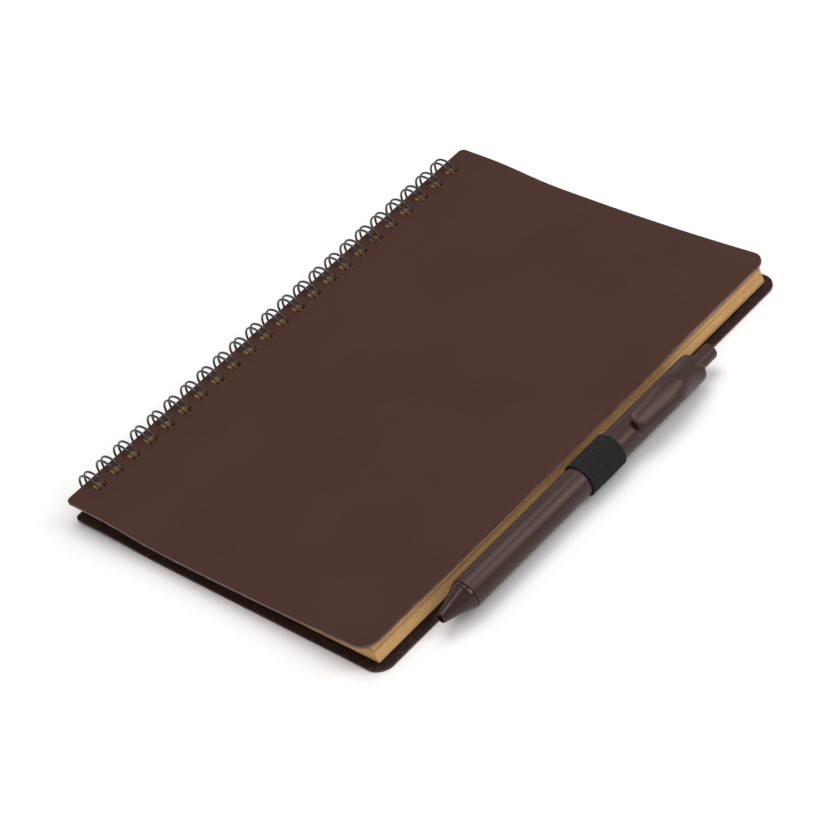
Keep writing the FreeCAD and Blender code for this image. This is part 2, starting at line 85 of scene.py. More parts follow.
class Nodes:
    """A material's node tree, with short ways to add and link nodes."""

    def __init__(self, name):
        self.material = bpy.data.materials.new(name)
        self.material.use_nodes = True
        self.tree = self.material.node_tree
        self.shader = self.tree.nodes["Principled BSDF"]

    def add(self, kind, **settings):
        node = self.tree.nodes.new(kind)
        for key, value in settings.items():
            setattr(node, key, value)
        return node

    def link(self, output, target):
        self.tree.links.new(output, target)

    def place(self, stretch=(1, 1, 1)):
        """Object coordinates, stretched along each axis."""
        source = self.add("ShaderNodeTexCoord")
        mapping = self.add("ShaderNodeMapping")
        mapping.inputs["Scale"].default_value = stretch
        self.link(source.outputs["Object"], mapping.inputs["Vector"])
        return mapping.outputs["Vector"]

    def noise(self, vector, scale, detail=4.0, roughness=0.55):
        node = self.add("ShaderNodeTexNoise")
        node.inputs["Scale"].default_value = scale
        node.inputs["Detail"].default_value = detail
        node.inputs["Roughness"].default_value = roughness
        self.link(vector, node.inputs["Vector"])
        return node.outputs["Fac"]

    def ramp(self, value, stops):
        node = self.add("ShaderNodeValToRGB")
        elements = node.color_ramp.elements
        while len(elements) < len(stops):
            elements.new(0.5)
        for element, (position, colour) in zip(elements, stops):
            element.position = position
            element.color = (*colour, 1.0)
        self.link(value, node.inputs["Fac"])
        return node.outputs["Color"]

    def mix(self, factor, first, second, blend="MIX"):
        node = self.add("ShaderNodeMix", data_type="RGBA", blend_type=blend)
        sockets = (node.inputs["Factor"], node.inputs[6], node.inputs[7])
        for socket, value in zip(sockets, (factor, first, second)):
            if hasattr(value, "is_output"):
                self.link(value, socket)
            elif isinstance(value, tuple):
                socket.default_value = (*value, 1.0)
            else:
                socket.default_value = value
        return node.outputs[2]

    def bump(self, height, strength, distance):
        node = self.add("ShaderNodeBump")
        node.inputs["Strength"].default_value = strength
        node.inputs["Distance"].default_value = distance
        self.link(height, node.inputs["Height"])
        return node.outputs["Normal"]

    def finish(self, colour, roughness, normal=None, **shader):
        """Set the shader's sockets: linked where given a socket, else a plain value."""
        self.link(colour, self.shader.inputs["Base Color"])
        for name, value in {"Roughness": roughness, **shader}.items():
            socket = self.shader.inputs[name.replace("_", " ")]
            if hasattr(value, "is_output"):
                self.link(value, socket)
            else:
                socket.default_value = value
        if normal is not None:
            self.link(normal, self.shader.inputs["Normal"])
        return self.material


def leatherette_material():
    """Smooth dark brown cover skin with a very fine grain and faint cloudiness."""
    nodes = Nodes("leatherette")
    place = nodes.place()
    cloud = nodes.noise(place, 28.0, 3.0)
    grain = nodes.noise(place, 5200.0, 3.0, 0.7)
    colour = nodes.ramp(cloud, [(0.3, (0.046, 0.0135, 0.0075)), (0.7, (0.053, 0.0165, 0.0095))])
    speck = nodes.ramp(grain, [(0.35, (0.88, 0.88, 0.88)), (0.65, (1.08, 1.08, 1.08))])
    colour = nodes.mix(1.0, colour, speck, "MULTIPLY")
    rough = nodes.ramp(grain, [(0.3, (0.46, 0.46, 0.46)), (0.7, (0.54, 0.54, 0.54))])
    normal = nodes.bump(grain, 0.12, 0.00004)
    return nodes.finish(colour, rough, normal, Specular_IOR_Level=0.2)


def cut_edge_material(name, dark, middle, pale_highlight):
    """Cut edge of a cover: reddish core, paler in patches; the pale colour is a painted highlight
    along the edge, not wear.
    """
    nodes = Nodes(name)
    place = nodes.place((1.0, 1.0, 6.0))
    # Noise patches where the edge takes its palest colour: painted highlight.
    highlight_patches = nodes.noise(place, 240.0, 4.0)
    colour = nodes.ramp(highlight_patches, [(0.3, dark), (0.5, middle), (0.72, pale_highlight)])
    normal = nodes.bump(nodes.noise(place, 1800.0), 0.4, 0.00006)
    return nodes.finish(colour, 0.62, normal, Specular_IOR_Level=0.35)


def fibre_material():
    """Inner face of a cover: matted brown fibres with pale flecks."""
    nodes = Nodes("cover_fibre")
    place = nodes.place()
    along = nodes.place((1.0, 2.6, 1.0))
    across = nodes.place((2.4, 1.0, 1.0))
    clump = nodes.noise(place, 420.0, 4.0, 0.6)
    fibre = nodes.noise(along, 1500.0, 4.0, 0.7)
    cross = nodes.noise(across, 1350.0, 4.0, 0.7)
    strands = nodes.mix(0.5, fibre, cross)
    colour = nodes.ramp(
        strands,
        [(0.40, (0.010, 0.0035, 0.003)), (0.53, (0.024, 0.0095, 0.0078)),
         (0.66, (0.13, 0.085, 0.075))],
    )
    shade = nodes.ramp(clump, [(0.35, (0.7, 0.7, 0.7)), (0.65, (1.35, 1.35, 1.35))])
    colour = nodes.mix(1.0, colour, shade, "MULTIPLY")
    normal = nodes.bump(strands, 0.7, 0.00018)
    return nodes.finish(colour, 0.85, normal, Specular_IOR_Level=0.25)


def kraft_material():
    """Unbleached paper: each leaf a little different, painted light and shade in bands across the
    stack, and fine fibres on its face.
    """
    nodes = Nodes("kraft_paper")
    leaves = nodes.noise(nodes.place((2.0, 5.0, 5200.0)), 1.0, 2.0, 0.6)
    # Bands about 1 mm apart through the stack: painted light and shade standing in for groups of
    # leaves that stand out or sit back.
    edge_light_bands = nodes.noise(nodes.place((2.0, 3.0, 1100.0)), 1.0, 2.0, 0.5)
    fibres = nodes.noise(nodes.place((1.0, 0.22, 1.0)), 2600.0, 4.0, 0.65)
    colour = nodes.ramp(
        leaves, [(0.32, (0.66, 0.37, 0.14)), (0.5, (0.88, 0.56, 0.25)),
                 (0.68, (0.95, 0.72, 0.42))]
    )
    # Painted light and shade of the bands, multiplied over the paper's colour.
    shade = nodes.ramp(edge_light_bands, [(0.38, (0.76, 0.71, 0.64)), (0.58, (1.04, 1.04, 1.04))])
    colour = nodes.mix(1.0, colour, shade, "MULTIPLY")
    fleck = nodes.ramp(fibres, [(0.35, (0.86, 0.84, 0.8)), (0.6, (1.04, 1.04, 1.04))])
    colour = nodes.mix(1.0, colour, fleck, "MULTIPLY")
    normal = nodes.bump(fibres, 0.25, 0.00005)
    return nodes.finish(colour, 0.88, normal, Specular_IOR_Level=0.25)


def wire_material():
    """Dark coated steel, a little scuffed."""
    nodes = Nodes("binding_wire")
    scuff = nodes.noise(nodes.place(), 900.0, 4.0)
    colour = nodes.ramp(scuff, [(0.35, (0.004, 0.004, 0.005)), (0.75, (0.012, 0.012, 0.014))])
    rough = nodes.ramp(scuff, [(0.3, (0.14, 0.14, 0.14)), (0.7, (0.24, 0.24, 0.24))])
    return nodes.finish(colour, rough, None, Specular_IOR_Level=0.75)


def elastic_material():
    """Black braided elastic: fine threads across the ribs and a soft sheen."""
    nodes = Nodes("elastic_braid")
    threads = nodes.noise(nodes.place((1.0, 3.0, 1.0)), 3400.0, 4.0, 0.7)
    colour = nodes.ramp(threads, [(0.35, (0.004, 0.004, 0.0045)), (0.65, (0.026, 0.025, 0.027))])
    normal = nodes.bump(threads, 0.8, 0.00012)
    return nodes.finish(colour, 0.85, normal, Specular_IOR_Level=0.15, Sheen_Weight=0.05)


def pen_material(name, dark, light, rough, level):
    """Moulded brown plastic with a faint flow pattern along the pen."""
    nodes = Nodes(name)
    flow = nodes.noise(nodes.place((1.0, 0.15, 1.0)), 300.0, 3.0)
    grain = nodes.noise(nodes.place(), 6500.0, 2.0)
    colour = nodes.ramp(flow, [(0.3, dark), (0.7, light)])
    spread = nodes.ramp(grain, [(0.3, (rough - 0.04,) * 3), (0.7, (rough + 0.05,) * 3)])
    normal = nodes.bump(grain, 0.08, 0.00003)
    return nodes.finish(
        colour, spread, normal, Specular_IOR_Level=level, Specular_Tint=(1.0, 0.8, 0.77, 1.0)
    )


def metal_material(name, dark, light, rough):
    """Turned metal with fine marks round the axis."""
    nodes = Nodes(name)
    marks = nodes.noise(nodes.place((1.0, 60.0, 1.0)), 120.0, 3.0)
    colour = nodes.ramp(marks, [(0.3, dark), (0.7, light)])
    return nodes.finish(colour, rough, None, Metallic=1.0)


def refill_material():
    """Milky plastic tube."""
    nodes = Nodes("refill_plastic")
    haze = nodes.noise(nodes.place((1.0, 0.2, 1.0)), 500.0)
    colour = nodes.ramp(haze, [(0.3, (0.5, 0.5, 0.48)), (0.7, (0.64, 0.64, 0.62))])
    return nodes.finish(colour, 0.4, None, Subsurface_Weight=0.1)


LEATHERETTE = leatherette_material()
# The last colour of each cut edge is a painted highlight along the edge.
FRONT_EDGE = cut_edge_material(
    "front_cut_edge", (0.08, 0.038, 0.034), (0.15, 0.088, 0.082), (0.26, 0.185, 0.175)
)
BACK_EDGE = cut_edge_material(
    "back_cut_edge", (0.035, 0.008, 0.006), (0.075, 0.022, 0.018), (0.14, 0.07, 0.06)
)
FIBRE = fibre_material()
KRAFT = kraft_material()
WIRE = wire_material()
ELASTIC = elastic_material()
PEN_SATIN = pen_material("pen_satin", (0.025, 0.009, 0.0075), (0.03, 0.011, 0.0092), 0.34, 0.4)
PEN_GLOSS = pen_material("pen_gloss", (0.019, 0.0072, 0.006), (0.024, 0.0094, 0.008), 0.16, 0.45)
BRASS = metal_material("refill_brass", (0.55, 0.37, 0.13), (0.7, 0.52, 0.24), 0.26)
STEEL = metal_material("spring_steel", (0.42, 0.42, 0.44), (0.6, 0.6, 0.62), 0.24)
REFILL = refill_material()


# Mesh tools -----------------------------------------------------------------------------------


def add_piece(name, points, faces, materials, body, replaced, smooth=True):
    """Make a mesh object from points in metres and ride it on its body."""
    mesh = bpy.data.meshes.new(name)
    mesh.from_pydata([tuple(point) for point in points], [], [tuple(face) for face in faces])
    mesh.validate()
    piece = bpy.data.objects.new(name, mesh)
    bpy.context.scene.collection.objects.link(piece)
    for material in materials:
        mesh.materials.append(material)
    if smooth:
        mesh.shade_smooth()
    else:
        mesh.shade_flat()
    settle(piece, body, replaced)
    return piece


def settle(piece, body, replaced):
    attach(piece, body)
    if replaced:
        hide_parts(*replaced)


def smooth_by_angle(piece, degrees=35):
    """Mark edges sharper than the angle as sharp."""
    mesh = piece.data
    work = bmesh.new()
    work.from_mesh(mesh)
    bmesh.ops.recalc_face_normals(work, faces=work.faces)
    limit = math.radians(degrees)
    for edge in work.edges:
        edge.smooth = len(edge.link_faces) == 2 and edge.calc_face_angle(0) < limit
    work.to_mesh(mesh)
    work.free()


def bevel(piece, width, angle=40):
    modifier = piece.modifiers.new("soft_edges", "BEVEL")
    modifier.width = width
    modifier.segments = 2
    modifier.limit_method = "ANGLE"
    modifier.angle_limit = math.radians(angle)
    modifier.harden_normals = True


def corner_arc(before, corner, after, radius, steps):
    """Points of the round that replaces a corner of an outline."""
    towards = (before - corner) / np.linalg.norm(before - corner)
    away = (after - corner) / np.linalg.norm(after - corner)
    half = math.acos(np.clip(towards @ away, -1, 1)) / 2
    reach = radius / math.tan(half)
    centre = corner + (towards + away) / np.linalg.norm(towards + away) * radius / math.sin(half)
    first = corner + towards * reach - centre
    last = corner + away * reach - centre
    sweep = math.pi - 2 * half
    points = []
    for step in range(steps + 1):
        turn = step / steps
        blend = (math.sin((1 - turn) * sweep) * first + math.sin(turn * sweep) * last)
        points.append(centre + blend / math.sin(sweep))
    return points


def rounded_outline(corners, steps=8):
    """Closed outline from (x, y, radius) corners."""
    spots = [np.array(corner[:2]) for corner in corners]
    outline = []
    for number, corner in enumerate(corners):
        radius = corner[2]
        if radius <= 0:
            outline.append(spots[number])
            continue
        before = spots[number - 1]
        after = spots[(number + 1) % len(spots)]
        outline += corner_arc(before, spots[number], after, radius, steps)
    return outline


# Sheets: one plan with its holes, bent to the line that the closed book's sheets lie in ---------

DROP_START = 10 * MM
DROP_END = 50 * MM
FLARE_START = 60 * MM
HOLE_START = 2.75 * MM
HOLE_WIDE = 4.9 * MM
HOLE_LONG = 4.2 * MM
HOLE_ROUND = 1.0 * MM
HOLE_COUNT = 23
HOLE_PITCH = 25.4 * MM / 3
FORE_BAND = 0.3 * MM
PLAN_SCALE = 100
PLAN_MERGE = 0.0005


def lie(x, fore):
    """Shares of the spine's lift and of the fore-edge's flare at x from the hinge."""
    drop = np.clip((x - DROP_START) / (DROP_END - DROP_START), 0, 1)
    lift = np.where(drop < 0.5, 1 - 2 * drop**2, 2 * (1 - drop) ** 2)
    flare = np.clip((x - FLARE_START) / (fore - FLARE_START), 0, 1.2) ** 2
    return lift, flare


class Lie:
    """The line that one CAD sheet's underside follows: level, lift at the spine, flare."""

    def __init__(self, node):
        points = node_points(node)
        x = points[:, 0] - HINGE_X
        self.fore = x.max()
        self.spine = x.min()
        self.half = points[:, 1].max()
        self.level = points[:, 2].min()
        self.lift = points[x < DROP_START, 2].min() - self.level
        self.flare = points[x > self.fore - FORE_BAND, 2].min() - self.level
        self.thick = points[x > self.fore - FORE_BAND, 2].max() - self.level - self.flare

    def height(self, x):
        lift, flare = lie(x, self.fore)
        return self.level + self.lift * lift + self.flare * flare


def hole_outline(middle):
    half = HOLE_LONG / 2
    end = HOLE_START + HOLE_WIDE
    return rounded_outline(
        [
            (HOLE_START, middle - half, HOLE_ROUND),
            (end, middle - half, HOLE_ROUND),
            (end, middle + half, HOLE_ROUND),
            (HOLE_START, middle + half, HOLE_ROUND),
        ],
        4,
    )


def sheet_plan(spine, fore, half, spine_round, fore_round, cuts):
    """Flat mesh of a punched sheet, x from the hinge, cut along lines where it may bend."""
    curve = bpy.data.curves.new("plan", "CURVE")
    curve.dimensions = "2D"
    curve.fill_mode = "BOTH"
    outlines = [
        rounded_outline(
            [
                (spine, -half, spine_round),
                (fore, -half, fore_round),
                (fore, half, fore_round),
                (spine, half, spine_round),
            ],
            10,
        )
    ]
    for number in range(HOLE_COUNT):
        outlines.append(hole_outline((number - (HOLE_COUNT - 1) / 2) * HOLE_PITCH))
    for outline in outlines:
        spline = curve.splines.new("POLY")
        spline.points.add(len(outline) - 1)
        for point, (x, y) in zip(spline.points, outline):
            # drawn much larger, so that the fill's own tolerance doesn't matter
            point.co = (x * PLAN_SCALE, y * PLAN_SCALE, 0, 1)
        spline.use_cyclic_u = True
    holder = bpy.data.objects.new("plan", curve)
    bpy.context.scene.collection.objects.link(holder)
    flat = bpy.data.meshes.new_from_object(holder)
    bpy.data.objects.remove(holder)
    work = bmesh.new()
    work.from_mesh(flat)
    bmesh.ops.remove_doubles(work, verts=work.verts, dist=PLAN_MERGE)
    for axis, places in enumerate(cuts):
        direction = Vector((1, 0, 0)) if axis == 0 else Vector((0, 1, 0))
        for place in places:
            geometry = work.verts[:] + work.edges[:] + work.faces[:]
            bmesh.ops.bisect_plane(
                work, geom=geometry, plane_co=direction * place * PLAN_SCALE, plane_no=direction
            )
    work.verts.ensure_lookup_table()
    points = np.array([vertex.co[:2] for vertex in work.verts]) / PLAN_SCALE
    faces = [[vertex.index for vertex in face.verts] for face in work.faces]
    rims = []
    for edge in work.edges:
        if len(edge.link_faces) == 1:
            face = edge.link_faces[0]
            order = [loop.vert.index for loop in face.loops]
            a, b = edge.verts[0].index, edge.verts[1].index
            ahead = order[(order.index(a) + 1) % len(order)] == b
            rims.append((a, b) if ahead else (b, a))
    work.free()
    bpy.data.meshes.remove(flat)
    return points, faces, rims


def slab(plan, low, high, shift=0.0):
    """Points and faces of a closed sheet: low and high give the faces' heights in the plan."""
    flat, faces, rims = plan
    x = flat[:, 0] + shift
    y = flat[:, 1]
    count = len(flat)
    under = np.column_stack([x + HINGE_X, y, low(x, y)])
    over = np.column_stack([x + HINGE_X, y, high(x, y)])
    solid = [[i + count for i in face] for face in faces]
    solid += [face[::-1] for face in faces]
    sides = [(a, b, b + count, a + count) for a, b in rims]
    return np.vstack([under, over]), solid, sides


FORE_CLEAR = 1.2 * MM
CROSS_START = -98 * MM
CROSS_STOP = 99 * MM


def bend_cuts(fore, step_y):
    """Cut lines of a sheet that bends along x: close in the drop and in the flare."""
    x = [place * MM for place in range(9, 52, 3)]
    x += list(np.linspace(FLARE_START, fore - FORE_CLEAR, 14))
    y = list(np.arange(CROSS_START, CROSS_STOP, step_y)) if step_y else []
    return x, y


SPINE_ROUND = 2.0 * MM
FORE_ROUND = 6.0 * MM
PAGE_ROUND = 0.3 * MM
COVER_CUTS = 14 * MM
COVER_SOFT = 0.09 * MM


def cover_layer(name, node, body, material):
    """One layer of a cover, on its CAD node's line, with its cut edge in a colour of its own."""
    line = Lie(node)
    plan = sheet_plan(
        line.spine, line.fore, line.half, SPINE_ROUND, FORE_ROUND,
        bend_cuts(line.fore, COVER_CUTS),
    )

    def low(x, y):
        return line.height(x)

    def high(x, y):
        return low(x, y) + line.thick

    points, faces, sides = slab(plan, low, high)
    edge = FRONT_EDGE if body == "front_cover" else BACK_EDGE
    piece = add_piece(name, points, faces + sides, [material, edge], body, [node])
    for polygon in piece.data.polygons[len(faces):]:
        polygon.material_index = 1
    smooth_by_angle(piece)
    bevel(piece, min(COVER_SOFT, line.thick * 0.3))


def build_covers():
    cover_layer("front_cover_outer", "front_cover_skin", "front_cover",
                LEATHERETTE)
    cover_layer("front_cover_inner", "front_cover_backing", "front_cover",
                FIBRE)
    cover_layer("back_cover_outer", "back_cover_skin", "notebook",
                LEATHERETTE)
    cover_layer("back_cover_inner", "back_cover_backing", "notebook",
                FIBRE)


LEAVES = 8
LEAF_THICK = 0.066 * MM
LEAF_START = 0.35
LEAF_SLIP = (-0.16, 0.1)
LEAF_SLIP_IN = -0.04 * MM
LEAF_SKEW = 0.0004
LEAF_RISE = 0.03


def build_pages():
    """Every leaf of the block, eight to a section, fanned a little at the fore-edge."""
    wobble = random.Random(11)
    lines = [Lie(f"page_section_{number}") for number in range(1, SECTIONS + 1)]
    top = lines[0]
    plan = sheet_plan(
        top.spine, top.fore, top.half, PAGE_ROUND, PAGE_ROUND, bend_cuts(top.fore, None)
    )
    step_up = (lines[0].level - lines[-1].level) / (SECTIONS - 1)
    flare_up = (lines[0].flare - lines[-1].flare) / (SECTIONS - 1)
    for number, line in enumerate(lines, start=1):
        points, faces, base = [], [], 0
        for leaf in range(LEAVES):
            share = (leaf + LEAF_START) / LEAVES
            slip = wobble.uniform(*LEAF_SLIP) * MM
            skew = wobble.uniform(-LEAF_SKEW, LEAF_SKEW)
            rise = wobble.uniform(0.0, LEAF_RISE) * MM

            def low(x, y, line=line, share=share, rise=rise):
                lift, flare = lie(x, line.fore)
                pitch = step_up + flare_up * flare
                return line.height(x) + pitch * share + rise * flare

            def high(x, y):
                return low(x, y) + LEAF_THICK

            shift = line.spine - top.spine + max(slip, LEAF_SLIP_IN)
            leaf_points, solid, sides = slab(plan, low, high, shift)
            leaf_points[:, 1] += skew * (leaf_points[:, 0] - HINGE_X)
            faces += [[i + base for i in face] for face in solid + sides]
            base += len(leaf_points)
            points.append(leaf_points)
        piece = add_piece(
            f"pages_{number}", np.vstack(points), faces, [KRAFT], f"page_{number}",
            [f"page_section_{number}"], smooth=False,
        )
        smooth_by_angle(piece)


# Wire -------------------------------------------------------------------------------------------

WIRE_TIP = math.radians(240)
WIRE_ROOT = math.radians(-90)
TWIN_HALF = 1.18 * MM
WIRE_RADIUS = 0.42 * MM


def wire_route():
    """Points along the wire: up and down each twin loop, with bends at tips and roots."""
    low, high = (np.array(corner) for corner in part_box("binding_wire"))
    reach = (high[2] - low[2]) / 2 - WIRE_RADIUS
    centre = np.array([high[0] - reach - WIRE_RADIUS, 0, (low[2] + high[2]) / 2])
    points = []

    def loop(angles, along):
        for angle in angles:
            points.append(centre + reach * np.array([math.cos(angle), 0, math.sin(angle)])
                          + np.array([0, along, 0]))

    def bend(first, last, forward, steps):
        middle = (first + last) / 2
        arm = first - middle
        out = forward * np.linalg.norm(arm)
        for angle in np.linspace(0, math.pi, steps + 1)[1:-1]:
            points.append(middle + arm * math.cos(angle) + out * math.sin(angle))

    rising = np.linspace(WIRE_ROOT, WIRE_TIP, 57)
    past_tip = np.array([-math.sin(WIRE_TIP), 0, math.cos(WIRE_TIP)])
    for number in range(HOLE_COUNT):
        middle = (number - (HOLE_COUNT - 1) / 2) * HOLE_PITCH
        loop(rising, middle - TWIN_HALF)
        tip = points[-1]
        bend(tip, tip + np.array([0, 2 * TWIN_HALF, 0]), past_tip, 10)
        loop(rising[::-1], middle + TWIN_HALF)
        if number < HOLE_COUNT - 1:
            root = points[-1]
            after = root + np.array([0, HOLE_PITCH - 2 * TWIN_HALF, 0])
            bend(root, after, np.array([-1.0, 0, 0]), 12)
    return points


def build_wire():
    points = wire_route()
    curve = bpy.data.curves.new("twin_loop_wire", "CURVE")
    curve.dimensions = "3D"
    curve.bevel_depth = WIRE_RADIUS
    curve.bevel_resolution = 3
    curve.use_fill_caps = True
    spline = curve.splines.new("POLY")
    spline.points.add(len(points) - 1)
    for point, spot in zip(spline.points, points):
        point.co = (*spot, 1)
    spline.use_smooth = True
    curve.materials.append(WIRE)
    wire = bpy.data.objects.new("twin_loop_wire", curve)
    bpy.context.scene.collection.objects.link(wire)
    settle(wire, "notebook", ["binding_wire"])


# Pen: pieces are turned about the pen's axis ------------------------------------------------------

TURN_STEPS = 96
ROUND_STEPS = 6

# Millimetres along the pen and out from its axis
FIT_GAP = 0.02
NOSE_MOUTH = 1.25
NOSE_MOUTH_LONG = 4.5
NOSE_BORE = 2.35
NOSE_SPIGOT = 4.2
BARREL_RADIUS = 5.5
BARREL_BORE = 4.3
BARREL_NECK = 4.85
SLEEVE_BORE = 4.92
SLEEVE_MOUTH = 3.02
SLEEVE_LIP = 3
SLEEVE_ROUND = 1.5
BUTTON_RADIUS = 2.9
BUTTON_ROUND = 1.05
BUTTON_FOOT = 4.1
BUTTON_CORE = 0.02


def on_pen(points):
    """Points given as (side, along, up from the pen's axis), turned to the clip's side."""
    points = np.asarray(points)
    sine, cosine = math.sin(CLIP_TURN), math.cos(CLIP_TURN)
    x = PEN_X + points[:, 0] * cosine + points[:, 2] * sine
    z = PEN_Z - points[:, 0] * sine + points[:, 2] * cosine
    return np.column_stack([x, points[:, 1], z])


def turned(name, corners, material, body, replaced):
    """Closed ring-shaped solid from an outline of (along, radius, rounding) in millimetres."""
    corners = [tuple(value * MM for value in corner) for corner in corners]
    outline = np.array(rounded_outline(corners, ROUND_STEPS))
    points, faces = [], []
    count = len(outline)
    for turn in range(TURN_STEPS):
        angle = 2 * math.pi * turn / TURN_STEPS
        for along, radius in outline:
            points.append((radius * math.sin(angle), along, radius * math.cos(angle)))
    for turn in range(TURN_STEPS):
        here = turn * count
        there = (turn + 1) % TURN_STEPS * count
        for number in range(count):
            after = (number + 1) % count
            faces.append((here + number, here + after, there + after, there + number))
    piece = add_piece(name, on_pen(points), faces, [material], body, replaced)
    smooth_by_angle(piece, 30)


def build_nose():
    low, high = (np.array(c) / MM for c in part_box("pen_nose_cone"))
    barrel = PEN_LOW[1] / MM
    tip = low[1]
    turned(
        "pen_nose",
        [
            (tip, NOSE_MOUTH, 0.12), (tip + NOSE_MOUTH_LONG, NOSE_MOUTH, 0),
            (tip + NOSE_MOUTH_LONG, NOSE_BORE, 0), (high[1], NOSE_BORE, 0),
            (high[1], NOSE_SPIGOT, 0), (barrel - FIT_GAP, NOSE_SPIGOT, 0),
            (barrel - FIT_GAP, 5.2, 0.15),
            (barrel - 1.0, 5.25, 0.25), (barrel - 1.5, 4.85, 0.25), (barrel - 7.2, 3.05, 3.0),
            (tip + 0.5, 1.9, 0.25), (tip, 1.72, 0.15),
        ],
        PEN_GLOSS, "pen", ["pen_nose_cone"],
    )


def build_barrel():
    low, high = PEN_LOW / MM, PEN_HIGH / MM
    turned(
        "pen_barrel_tube",
        [
            (low[1], BARREL_BORE, 0.1), (high[1], BARREL_BORE, 0.1),
            (high[1], BARREL_NECK, 0.2), (SLEEVE_START, BARREL_NECK, 0),
            (SLEEVE_START, BARREL_RADIUS, 0.05), (low[1] + FIT_GAP, BARREL_RADIUS, 0.18),
        ],
        PEN_SATIN, "pen", ["pen_barrel"],
    )


def build_button():
    low, high = (np.array(c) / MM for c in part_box("pen_button"))
    mouth = SLEEVE_END - 3.05
    turned(
        "pen_push_button",
        [
            (low[1], BUTTON_CORE, 0), (high[1], BUTTON_CORE, 0),
            (high[1], BUTTON_RADIUS, BUTTON_ROUND), (mouth, BUTTON_RADIUS, 0),
            (mouth, BUTTON_FOOT, 0.2), (low[1], BUTTON_FOOT, 0.2),
        ],
        PEN_SATIN, "pen_push", ["pen_button"],
    )


def build_sleeve():
    start = SLEEVE_START + FIT_GAP
    turned(
        "pen_sleeve",
        [
            (start, SLEEVE_BORE, 0), (SLEEVE_END - SLEEVE_LIP, SLEEVE_BORE, 0),
            (SLEEVE_END - SLEEVE_LIP, SLEEVE_MOUTH, 0), (SLEEVE_END, SLEEVE_MOUTH, 0.15),
            (SLEEVE_END, SLEEVE_RADIUS, SLEEVE_ROUND), (start, SLEEVE_RADIUS, 0.12),
        ],
        PEN_SATIN, "pen", ["pen_clip_sleeve"],
    )


# Clip, in millimetres: a tongue over the barrel, out of the sleeve. Heights are from the axis.
TONGUE_ROUND = 3.2
TONGUE_HALF = 3.5
TONGUE_TOP = 7.3
TONGUE_CROWN = 0.95
TONGUE_UNDER = 6.45
CLIP_THIN = 0.35
ROOT_SINK = 1.35
JOIN_LONG = 13.0
JOIN_SIDE_GAP = 0.04


def soft_step(value, start, end):
    """0 before start, 1 past end, eased between."""
    share = np.clip((value - start) / (end - start), 0, 1)
    return share * share * (3 - 2 * share)


def clip_section(along, across):
    """Points over and under the clip at one station: a tongue that turns into the sleeve."""
    past_tip = along - CLIP_FREE
    tip = math.sqrt(max(1 - (1 - min(past_tip / TONGUE_ROUND, 1)) ** 2, 0.0))
    joined = soft_step(along, CLIP_ROOT - JOIN_LONG, CLIP_ROOT)
    half = (TONGUE_HALF + 1.0 * soft_step(past_tip, 4, 26)) * (0.4 + 0.6 * tip)
    half += (SLEEVE_RADIUS - JOIN_SIDE_GAP - half) * joined
    ridge = TONGUE_TOP + 0.5 * tip + 0.25 * soft_step(past_tip, 0, 14)
    ridge += (SLEEVE_RADIUS + FIT_GAP - ridge) * soft_step(along, CLIP_ROOT - 6.0, CLIP_END)
    side = half * across
    tongue = ridge - TONGUE_CROWN * across**2
    round_over = ridge * np.sqrt(1 - (side / SLEEVE_RADIUS) ** 2)
    over = (1 - joined) * tongue + joined * round_over
    sink = ROOT_SINK * soft_step(along, CLIP_ROOT - 7.0, CLIP_ROOT - 4.0)
    under = np.minimum(TONGUE_UNDER - sink, over - CLIP_THIN)
    return side, over, under


def build_clip():
    stations = list(CLIP_FREE + FIT_GAP + TONGUE_ROUND * np.linspace(0, 1, 16) ** 1.8)
    stations += list(np.linspace(CLIP_FREE + 3.6, CLIP_END, 60))
    across = np.sin(np.linspace(-1, 1, 33) * math.pi / 2)
    points, faces = [], []
    for along in stations:
        side, over, under = clip_section(along, across)
        points += [(x, along, z) for x, z in zip(side, over)]
        points += [(x, along, z) for x, z in zip(side[::-1], under[::-1])]
    count = 2 * len(across)
    for row in range(len(stations) - 1):
        for column in range(count):
            after = (column + 1) % count
            faces.append((
                row * count + column, row * count + after,
                (row + 1) * count + after, (row + 1) * count + column,
            ))
    faces.append(tuple(range(count))[::-1])
    faces.append(tuple((len(stations) - 1) * count + i for i in range(count)))
    points = on_pen(np.array(points) * MM)
    piece = add_piece("pen_clip", points, faces, [PEN_SATIN], "pen", [])
    smooth_by_angle(piece, 50)
    bevel(piece, 0.12 * MM, 50)


def dress(node, material):
    """Give a CAD node that stays its finish."""
    mesh = NODES[node].data
    mesh.materials.clear()
    mesh.materials.append(material)


# Elastic loop -------------------------------------------------------------------------------------

RIBS = 12
RIB_STEPS = 10
STITCHES = 46
STITCH_STEPS = 6
LOOP_GAP = 0.12
BAND_EDGE = 0.15
GROOVE_DEEP = 0.36
STITCH_DEEP = 0.28
TAIL_THICK = 0.42
TAIL_GROOVE = 0.06
TAIL_FLAT_END = 3.4
TAIL_RISE_LONG = 3.2
TAIL_RISE = 0.45


def rib_height(along):
    """0 in the grooves to 1 on the ribs, along counted in ribs."""
    return np.abs(np.sin(math.pi * along)) ** 0.6


